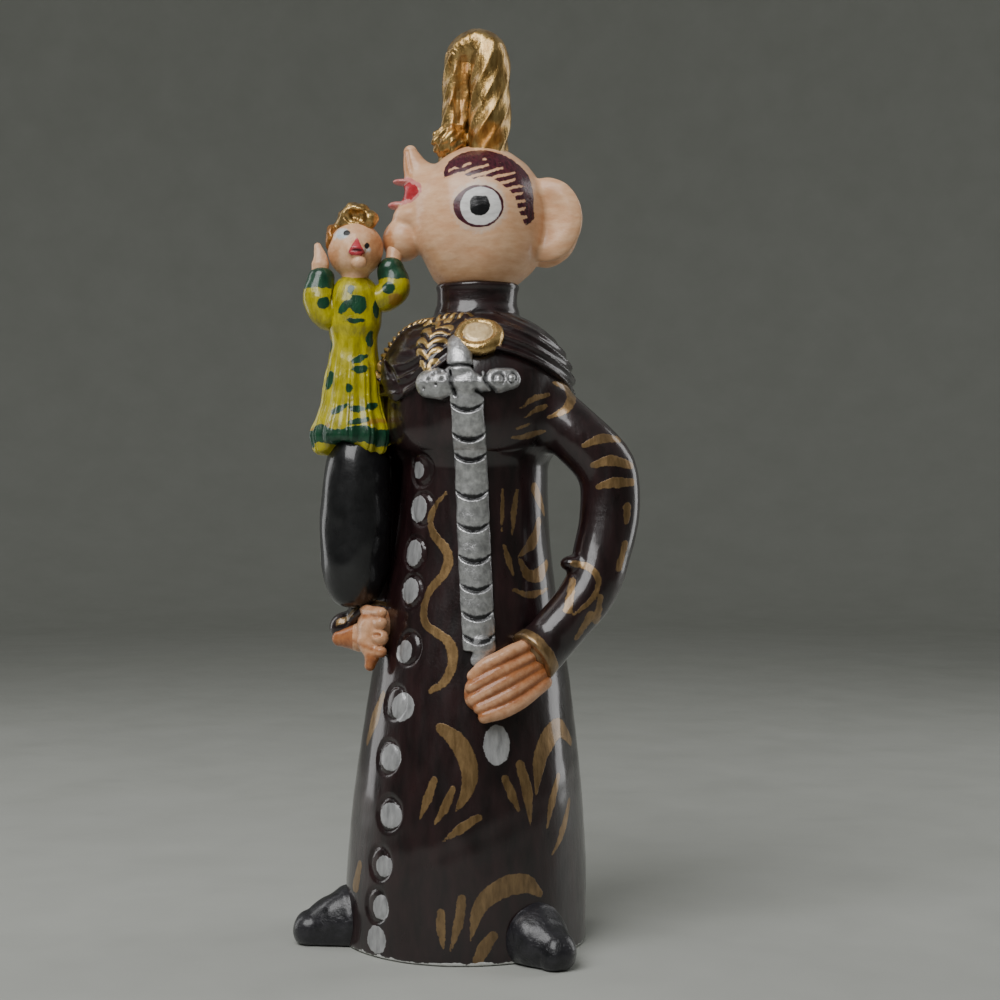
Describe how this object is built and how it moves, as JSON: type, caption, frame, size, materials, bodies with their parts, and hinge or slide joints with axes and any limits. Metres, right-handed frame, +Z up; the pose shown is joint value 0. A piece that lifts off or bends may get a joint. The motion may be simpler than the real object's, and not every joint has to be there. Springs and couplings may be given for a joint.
{
  "type": "clay statuette",
  "caption": "Painted clay statuette of a robed figure with its head thrown back under a tall golden curl, holding a small companion on its right arm.",
  "frame": {"origin": "centre of the robe's flat foot, on the surface that it stands on", "axes": "+Z up along the figure, -Y towards its front with the buttons, +X towards its left arm"},
  "size_m": [0.109, 0.0816, 0.3083],
  "materials": {
    "robe_paint": "gloss",
    "skin_paint": "satin",
    "gold_paint": "satin",
    "silver_paint": "satin",
    "dress_paint": "gloss",
    "black_paint": "gloss"
  },
  "bodies": {
    "root": {"statuette": "robe_paint"}
  },
  "joints": []
}
